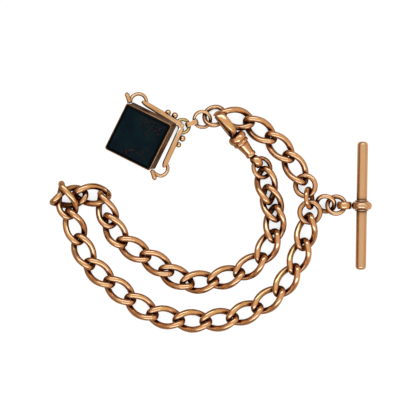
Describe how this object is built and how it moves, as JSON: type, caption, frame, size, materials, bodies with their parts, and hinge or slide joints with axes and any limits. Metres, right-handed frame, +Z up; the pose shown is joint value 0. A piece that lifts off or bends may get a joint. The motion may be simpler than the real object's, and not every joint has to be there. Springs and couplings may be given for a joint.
{
  "type": "pocket watch chain",
  "caption": "Curb-link pocket watch chain of rose gold: twisted oval links, T-bar on a junction ring, swivel dog clip, and a square stone fob that spins in its frame.",
  "frame": {"origin": "on the table below the middle of the chain as it lies", "axes": "+Z up from the table, +X from the doubled-back bend towards the T-bar, +Y towards the fob's end of the chain"},
  "size_m": [0.1004, 0.0749, 0.0127],
  "materials": {
    "rose_gold": "polished rose gold, hand-worn, darker in the crevices",
    "fob_gold": "polished gold, slightly yellower, fine engraved lines on the frame",
    "bloodstone": "polished dark green-black stone with red flecks",
    "spring_steel": "plain spring steel"
  },
  "bodies": {
    "ring_junction": {"ring_junction": "rose_gold"},
    "ring_short_run": {"ring_short_run": "rose_gold"},
    "short_link_1": {"short_link_1": "rose_gold"},
    "short_link_2": {"short_link_2": "rose_gold"},
    "short_link_3": {"short_link_3": "rose_gold"},
    "short_link_4": {"short_link_4": "rose_gold"},
    "ring_end": {"ring_end": "rose_gold"},
    "ring_fob": {"ring_fob": "rose_gold"},
    "fob_bail": {"fob_bail": "fob_gold"},
    "fob_frame": {"fob_frame": "fob_gold"},
    "fob_stone": {"fob_bezel": "fob_gold", "fob_stone_front": "bloodstone", "fob_stone_back": "bloodstone", "fob_pin_upper": "fob_gold", "fob_pin_lower": "fob_gold"},
    "ring_long_run": {"ring_long_run": "rose_gold"},
    "outer_link_01": {"outer_link_01": "rose_gold"},
    "outer_link_02": {"outer_link_02": "rose_gold"},
    "outer_link_03": {"outer_link_03": "rose_gold"},
    "outer_link_04": {"outer_link_04": "rose_gold"},
    "outer_link_05": {"outer_link_05": "rose_gold"},
    "outer_link_06": {"outer_link_06": "rose_gold"},
    "outer_link_07": {"outer_link_07": "rose_gold"},
    "outer_link_08": {"outer_link_08": "rose_gold"},
    "outer_link_09": {"outer_link_09": "rose_gold"},
    "outer_link_10": {"outer_link_10": "rose_gold"},
    "outer_link_11": {"outer_link_11": "rose_gold"},
    "outer_link_12": {"outer_link_12": "rose_gold"},
    "outer_link_13": {"outer_link_13": "rose_gold"},
    "bend_link_1": {"bend_link_1": "rose_gold"},
    "bend_link_2": {"bend_link_2": "rose_gold"},
    "bend_link_3": {"bend_link_3": "rose_gold"},
    "inner_link_01": {"inner_link_01": "rose_gold"},
    "inner_link_02": {"inner_link_02": "rose_gold"},
    "inner_link_03": {"inner_link_03": "rose_gold"},
    "inner_link_04": {"inner_link_04": "rose_gold"},
    "inner_link_05": {"inner_link_05": "rose_gold"},
    "inner_link_06": {"inner_link_06": "rose_gold"},
    "inner_link_07": {"inner_link_07": "rose_gold"},
    "inner_link_08": {"inner_link_08": "rose_gold"},
    "inner_link_09": {"inner_link_09": "rose_gold"},
    "inner_link_10": {"inner_link_10": "rose_gold"},
    "inner_link_11": {"inner_link_11": "rose_gold"},
    "inner_link_12": {"inner_link_12": "rose_gold"},
    "ring_clip": {"ring_clip": "rose_gold"},
    "clip_eye": {"clip_eye": "rose_gold"},
    "clip": {"clip_barrel": "rose_gold", "clip_collar": "rose_gold", "clip_hook": "rose_gold", "clip_gate_pin": "rose_gold", "clip_gate_spring": "spring_steel"},
    "clip_gate": {"clip_gate": "rose_gold"},
    "ring_branch_inner": {"ring_branch_inner": "rose_gold"},
    "ring_branch_outer": {"ring_branch_outer": "rose_gold"},
    "tbar_collar": {"tbar_collar": "rose_gold", "tbar_eye": "rose_gold"},
    "tbar_bar": {"tbar_bar": "rose_gold", "tbar_washer_top": "rose_gold", "tbar_washer_bottom": "rose_gold"}
  },
  "joints": [
    {"name": "fob_stone_spin", "type": "hinge", "parent": "fob_frame", "child": "fob_stone", "pos_m": [-0.02173, 0.02337, 0.0065], "axis": [0.312, -0.9501, 0], "continuous": true},
    {"name": "fob_frame_hinge", "type": "hinge", "parent": "fob_bail", "child": "fob_frame", "pos_m": [-0.00682, 0.02722, 0.00118], "axis": [0.3536, -0.9354, 0], "range_deg": [-60, 60]},
    {"name": "tbar_bar_spin", "type": "hinge", "parent": "tbar_collar", "child": "tbar_bar", "pos_m": [0.04713, 0.00181, 0.0032], "axis": [0.0164, 0.9999, 0], "continuous": true},
    {"name": "tbar_collar_hinge", "type": "hinge", "parent": "ring_branch_outer", "child": "tbar_collar", "pos_m": [0.04187, 0.00197, 0.00321], "axis": [0.0368, 0.9993, 0], "range_deg": [-60, 50]},
    {"name": "clip_swivel", "type": "hinge", "parent": "clip_eye", "child": "clip", "pos_m": [0.0129, 0.01729, 0.00333], "axis": [-0.6223, 0.745, 0.2402], "continuous": true},
    {"name": "clip_gate_hinge", "type": "hinge", "parent": "clip", "child": "clip_gate", "pos_m": [0.00742, 0.02264, 0.00314], "axis": [0.6613, 0.6646, -0.3479], "range_deg": [0, 10], "stiffness_Nm_per_rad": 0.004, "springref_deg": -4.58},
    {"name": "clip_eye_hinge", "type": "hinge", "parent": "ring_clip", "child": "clip_eye", "pos_m": [0.01402, 0.01582, 0.00289], "axis": [-0.591, -0.6894, 0.4188], "range_deg": [-45, 0]},
    {"name": "ring_clip_hinge", "type": "hinge", "parent": "inner_link_12", "child": "ring_clip", "pos_m": [0.01562, 0.01073, 0.00278], "axis": [0.8403, 0.2097, -0.5], "range_deg": [0, 45]},
    {"name": "ring_end_hinge", "type": "hinge", "parent": "short_link_4", "child": "ring_end", "pos_m": [0.00256, 0.03026, 0.00271], "axis": [-0.095, -0.3053, -0.9475], "range_deg": [-30, 45]},
    {"name": "ring_fob_hinge", "type": "hinge", "parent": "ring_end", "child": "ring_fob", "pos_m": [-0.00174, 0.03061, 0.00122], "axis": [0.2283, -0.8354, 0.5], "range_deg": [-20, 30]},
    {"name": "fob_bail_hinge", "type": "hinge", "parent": "ring_fob", "child": "fob_bail", "pos_m": [-0.00488, 0.02774, 0.00107], "axis": [0.3309, -0.9075, -0.2588], "range_deg": [-30, 30]},
    {"name": "ring_branch_inner_hinge", "type": "hinge", "parent": "ring_junction", "child": "ring_branch_inner", "pos_m": [0.03321, 0.00253, 0.00173], "axis": [0.0381, -0.8674, -0.4961], "range_deg": [-45, 24]},
    {"name": "ring_branch_outer_hinge", "type": "hinge", "parent": "ring_branch_inner", "child": "ring_branch_outer", "pos_m": [0.03794, 0.00382, 0.00333], "axis": [0.109, 0.8591, 0.5], "range_deg": [-20, 20]},
    {"name": "ring_short_run_hinge", "type": "hinge", "parent": "ring_junction", "child": "ring_short_run", "pos_m": [0.03166, 0.00575, 0.00337], "axis": [0.6826, 0.6888, 0.2442], "range_deg": [-45, 0]},
    {"name": "ring_long_run_hinge", "type": "hinge", "parent": "ring_junction", "child": "ring_long_run", "pos_m": [0.03115, 0.00209, 0.00332], "axis": [-0.9643, -0.0555, 0.2588], "range_deg": [-15, 0]},
    {"name": "short_link_1_hinge", "type": "hinge", "parent": "ring_short_run", "child": "short_link_1", "pos_m": [0.02902, 0.01115, 0.0027], "axis": [-0.9359, -0.1704, -0.3084], "range_deg": [0, 45]},
    {"name": "short_link_2_hinge", "type": "hinge", "parent": "short_link_1", "child": "short_link_2", "pos_m": [0.02501, 0.01607, 0.00283], "axis": [0.6959, 0.5154, -0.5], "range_deg": [-35, 0]},
    {"name": "short_link_3_hinge", "type": "hinge", "parent": "short_link_2", "child": "short_link_3", "pos_m": [0.01777, 0.02366, 0.00175], "axis": [-0.4626, -0.5348, -0.7071], "range_deg": [0, 45]},
    {"name": "short_link_4_hinge", "type": "hinge", "parent": "short_link_3", "child": "short_link_4", "pos_m": [0.01095, 0.02802, 0.00162], "axis": [0.0887, -0.7262, -0.6817], "range_deg": [0, 40]},
    {"name": "outer_link_01_hinge", "type": "hinge", "parent": "ring_long_run", "child": "outer_link_01", "pos_m": [0.02931, -0.0029, 0.00283], "axis": [0.9837, -0.1797, 0], "range_deg": [0, 30]},
    {"name": "outer_link_02_hinge", "type": "hinge", "parent": "outer_link_01", "child": "outer_link_02", "pos_m": [0.02732, -0.01024, 0.00097], "axis": [-0.7597, -0.6497, 0.0282], "range_deg": [-15, 0]},
    {"name": "outer_link_03_hinge", "type": "hinge", "parent": "outer_link_02", "child": "outer_link_03", "pos_m": [0.02588, -0.01715, 0.00136], "axis": [0.802, 0.2907, 0.5219], "range_deg": [0, 35]},
    {"name": "outer_link_04_hinge", "type": "hinge", "parent": "outer_link_03", "child": "outer_link_04", "pos_m": [0.02157, -0.0241, 0.00151], "axis": [-0.7781, 0.0387, -0.6269], "range_deg": [-40, 0]},
    {"name": "outer_link_05_hinge", "type": "hinge", "parent": "outer_link_04", "child": "outer_link_05", "pos_m": [0.01509, -0.02928, 0.00157], "axis": [0.6696, -0.3126, 0.6738], "range_deg": [0, 40]},
    {"name": "outer_link_06_hinge", "type": "hinge", "parent": "outer_link_05", "child": "outer_link_06", "pos_m": [0.00778, -0.03278, 0.00181], "axis": [0.8239, -0.3845, 0.4163], "range_deg": [0, 25]},
    {"name": "outer_link_07_hinge", "type": "hinge", "parent": "outer_link_06", "child": "outer_link_07", "pos_m": [-0.00083, -0.03368, 0.0014], "axis": [0.5916, -0.5579, 0.582], "range_deg": [0, 30]},
    {"name": "outer_link_08_hinge", "type": "hinge", "parent": "outer_link_07", "child": "outer_link_08", "pos_m": [-0.01067, -0.03482, 0.00124], "axis": [0.6178, -0.6285, -0.4726], "range_deg": [0, 20]},
    {"name": "outer_link_09_hinge", "type": "hinge", "parent": "outer_link_08", "child": "outer_link_09", "pos_m": [-0.01896, -0.0314, 0.00305], "axis": [-0.6026, -0.5065, -0.6167], "range_deg": [-45, 0]},
    {"name": "outer_link_10_hinge", "type": "hinge", "parent": "outer_link_09", "child": "outer_link_10", "pos_m": [-0.02623, -0.02736, 0.00154], "axis": [0.5821, 0.7708, 0.2588], "range_deg": [-3, 40]},
    {"name": "outer_link_11_hinge", "type": "hinge", "parent": "outer_link_10", "child": "outer_link_11", "pos_m": [-0.0315, -0.02097, 0.00359], "axis": [-0.5632, -0.6579, -0.5], "range_deg": [0, 30]},
    {"name": "outer_link_12_hinge", "type": "hinge", "parent": "outer_link_11", "child": "outer_link_12", "pos_m": [-0.03817, -0.01534, 0.00305], "axis": [-0.7754, -0.135, -0.6169], "range_deg": [-45, 0]},
    {"name": "outer_link_13_hinge", "type": "hinge", "parent": "outer_link_12", "child": "outer_link_13", "pos_m": [-0.0417, -0.00768, 0.00232], "axis": [-0.6634, -0.2447, -0.7071], "range_deg": [0, 30]},
    {"name": "bend_link_1_hinge", "type": "hinge", "parent": "outer_link_13", "child": "bend_link_1", "pos_m": [-0.04246, -0.0003, 0.00352], "axis": [-0.9516, -0.3073, 0], "range_deg": [-20, 0]},
    {"name": "bend_link_2_hinge", "type": "hinge", "parent": "bend_link_1", "child": "bend_link_2", "pos_m": [-0.04799, 0.00261, 0.00227], "axis": [-0.5836, -0.5317, 0.6138], "range_deg": [-8, 0]},
    {"name": "bend_link_3_hinge", "type": "hinge", "parent": "bend_link_2", "child": "bend_link_3", "pos_m": [-0.0425, 0.00555, 0.00323], "axis": [-0.8494, -0.0956, 0.5191], "range_deg": [-20, 0]},
    {"name": "inner_link_01_hinge", "type": "hinge", "parent": "bend_link_3", "child": "inner_link_01", "pos_m": [-0.03572, 0.00251, 0.0028], "axis": [-0.6903, -0.6756, 0.2588], "range_deg": [-3, 20]},
    {"name": "inner_link_02_hinge", "type": "hinge", "parent": "inner_link_01", "child": "inner_link_02", "pos_m": [-0.03279, -0.00167, 0.00163], "axis": [-0.0989, -0.6768, -0.7295], "range_deg": [0, 32]},
    {"name": "inner_link_03_hinge", "type": "hinge", "parent": "inner_link_02", "child": "inner_link_03", "pos_m": [-0.0266, -0.00839, 0.00198], "axis": [0.041, 0.9972, 0.0625], "range_deg": [-45, 0]},
    {"name": "inner_link_04_hinge", "type": "hinge", "parent": "inner_link_03", "child": "inner_link_04", "pos_m": [-0.02147, -0.01386, 0.0016], "axis": [-0.4612, -0.733, -0.5], "range_deg": [0, 45]},
    {"name": "inner_link_05_hinge", "type": "hinge", "parent": "inner_link_04", "child": "inner_link_05", "pos_m": [-0.01205, -0.01729, 0.00332], "axis": [-0.9552, 0.0911, 0.2815], "range_deg": [-40, 0]},
    {"name": "inner_link_06_hinge", "type": "hinge", "parent": "inner_link_05", "child": "inner_link_06", "pos_m": [-0.00876, -0.02194, 0.00282], "axis": [0.1772, 0.8477, 0.5], "range_deg": [-45, 0]},
    {"name": "inner_link_07_hinge", "type": "hinge", "parent": "inner_link_06", "child": "inner_link_07", "pos_m": [-0.00019, -0.02113, 0.00321], "axis": [0.6047, 0.7955, -0.0384], "range_deg": [0, 20]},
    {"name": "inner_link_08_hinge", "type": "hinge", "parent": "inner_link_07", "child": "inner_link_08", "pos_m": [0.0079, -0.01882, 0.00306], "axis": [-0.1886, -0.9248, -0.3305], "range_deg": [-45, 0]},
    {"name": "inner_link_09_hinge", "type": "hinge", "parent": "inner_link_08", "child": "inner_link_09", "pos_m": [0.017, -0.0154, 0.001], "axis": [-0.7189, 0.6451, 0.2588], "range_deg": [-35, 0]},
    {"name": "inner_link_10_hinge", "type": "hinge", "parent": "inner_link_09", "child": "inner_link_10", "pos_m": [0.01928, -0.009, 0.00287], "axis": [0.8297, -0.2483, -0.5], "range_deg": [0, 45]},
    {"name": "inner_link_11_hinge", "type": "hinge", "parent": "inner_link_10", "child": "inner_link_11", "pos_m": [0.02034, 0.0015, 0.00281], "axis": [-0.7002, -0.0988, -0.7071], "range_deg": [-12, 0]},
    {"name": "inner_link_12_hinge", "type": "hinge", "parent": "inner_link_11", "child": "inner_link_12", "pos_m": [0.01824, 0.00283, 0.00261], "axis": [0.922, 0.2878, -0.2588], "range_deg": [0, 15]}
  ]
}
